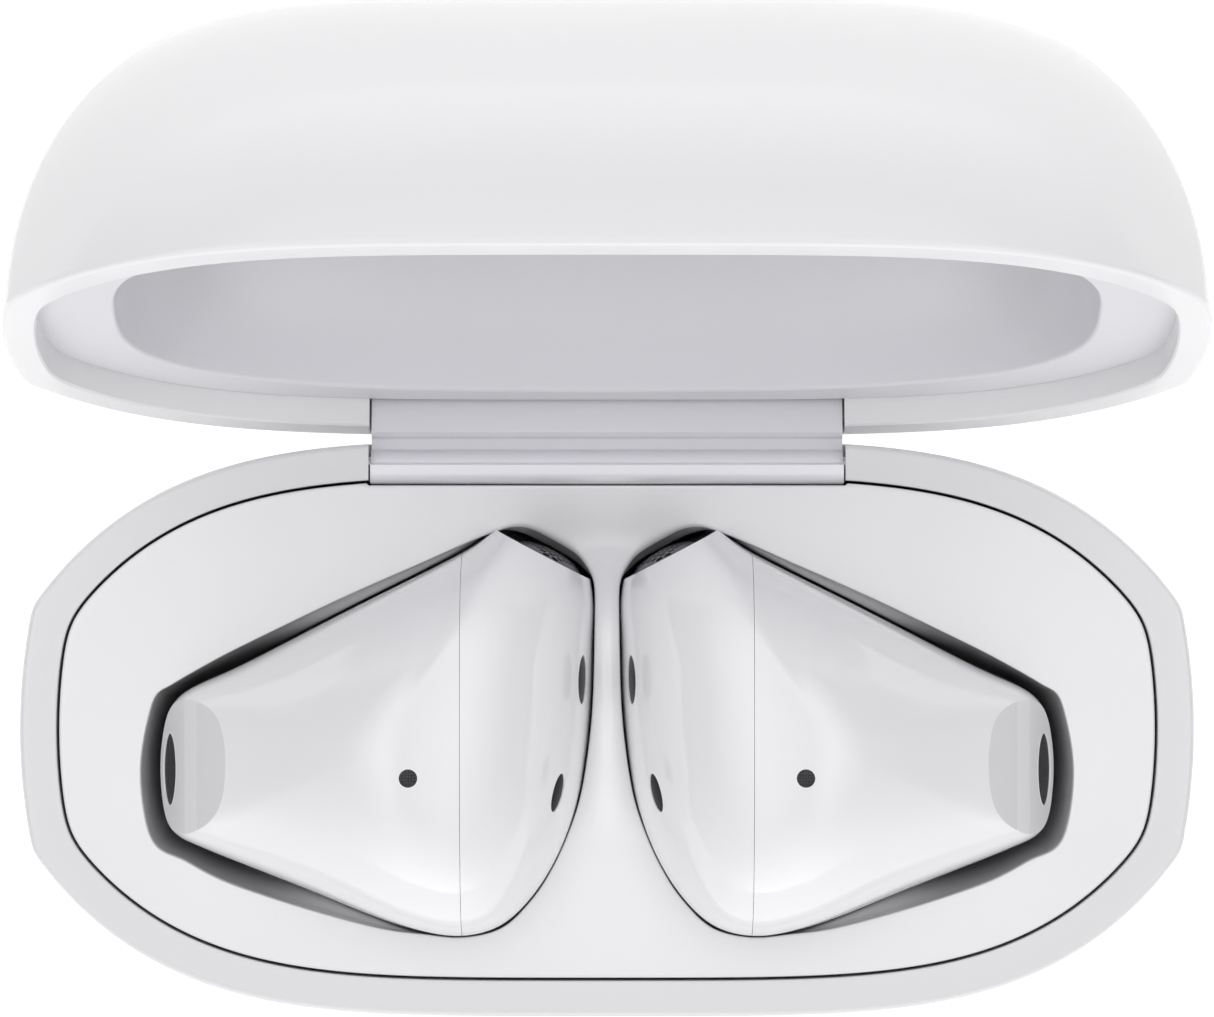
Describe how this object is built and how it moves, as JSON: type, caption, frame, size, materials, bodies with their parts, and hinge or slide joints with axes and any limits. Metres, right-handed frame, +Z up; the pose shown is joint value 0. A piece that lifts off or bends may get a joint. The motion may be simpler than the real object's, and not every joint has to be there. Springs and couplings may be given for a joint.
{
  "type": "wireless earbuds case",
  "caption": "Pocket charging case with a hinged domed lid, holding a pair of lift-out wireless earbuds upright in its cradle",
  "frame": {"origin": "centre of the flat base of the lower case", "axes": "+X along the width, -Y towards the front, +Y towards the hinge, +Z up"},
  "size_m": [0.0444, 0.0381, 0.0586],
  "materials": {
    "case_plastic": "polished white moulding",
    "cradle_plastic": "smooth white moulding, soft shine",
    "liner_plastic": "smooth white moulding, soft shine",
    "hinge_metal": "fine satin",
    "earbud_plastic": "high gloss white",
    "sensor_window": "black, gloss",
    "dark_grille": "dark grey, pierced",
    "steel": "satin",
    "nickel": "nickel plated",
    "gold_contact": "gold plated",
    "copper_coil": "lacquered copper wire",
    "ferrite": "dull dark sheet",
    "circuit_board": "green solder mask",
    "black_plastic": "moulded black",
    "battery_foil": "foil wrap",
    "foam_pad": "soft foam",
    "frame_plastic": "moulded white",
    "light_guide": "clear to milky"
  },
  "bodies": {
    "case_body": {"battery_pad": "foam_pad", "body_shell": "case_plastic", "button_switch": "steel", "case_battery": "battery_foil", "case_left_latch_magnet": "nickel", "case_right_latch_magnet": "nickel", "charging_coil": "copper_coil", "charging_controller": "black_plastic", "charging_cradle": "cradle_plastic", "charging_port": "steel", "charging_port_tongue": "black_plastic", "ferrite_sheet": "ferrite", "hinge_body_leaf": "hinge_metal", "hinge_left_screw": "steel", "hinge_pin": "steel", "hinge_right_screw": "steel", "left_earbud_seat_magnet": "nickel", "left_well_contact_pin": "gold_contact", "main_board": "circuit_board", "mid_frame": "frame_plastic", "right_earbud_seat_magnet": "nickel", "right_well_contact_pin": "gold_contact", "status_light_guide": "light_guide"},
    "lid": {"hinge_lid_leaf": "hinge_metal", "lid_left_magnet": "nickel", "lid_liner": "liner_plastic", "lid_right_magnet": "nickel", "lid_shell": "case_plastic"},
    "left_earbud": {"left_earbud_cell": "battery_foil", "left_earbud_charging_contact": "gold_contact", "left_earbud_driver": "steel", "left_earbud_lower_sensor_window": "sensor_window", "left_earbud_mic_grille": "dark_grille", "left_earbud_speaker_grille": "dark_grille", "left_earbud_speaker_shell": "earbud_plastic", "left_earbud_stem_shell": "earbud_plastic", "left_earbud_upper_sensor_window": "sensor_window", "left_earbud_vent": "dark_grille"},
    "right_earbud": {"right_earbud_cell": "battery_foil", "right_earbud_charging_contact": "gold_contact", "right_earbud_driver": "steel", "right_earbud_lower_sensor_window": "sensor_window", "right_earbud_mic_grille": "dark_grille", "right_earbud_speaker_grille": "dark_grille", "right_earbud_speaker_shell": "earbud_plastic", "right_earbud_stem_shell": "earbud_plastic", "right_earbud_upper_sensor_window": "sensor_window", "right_earbud_vent": "dark_grille"},
    "pairing_button": {"pairing_button": "case_plastic"}
  },
  "joints": [
    {"name": "lid_hinge", "type": "hinge", "parent": "case_body", "child": "lid", "pos_m": [0, 0.01002, 0.03918], "axis": [1, 0, 0], "range_deg": [0, 107.8]},
    {"name": "left_earbud_lift", "type": "slide", "parent": "case_body", "child": "left_earbud", "axis": [0, 0, 1], "range_m": [0, 0.05]},
    {"name": "right_earbud_lift", "type": "slide", "parent": "case_body", "child": "right_earbud", "axis": [0, 0, 1], "range_m": [0, 0.05]},
    {"name": "pairing_button_press", "type": "slide", "parent": "case_body", "child": "pairing_button", "axis": [0, -1, 0], "range_m": [0, 0.0004], "stiffness_N_per_m": 400}
  ]
}
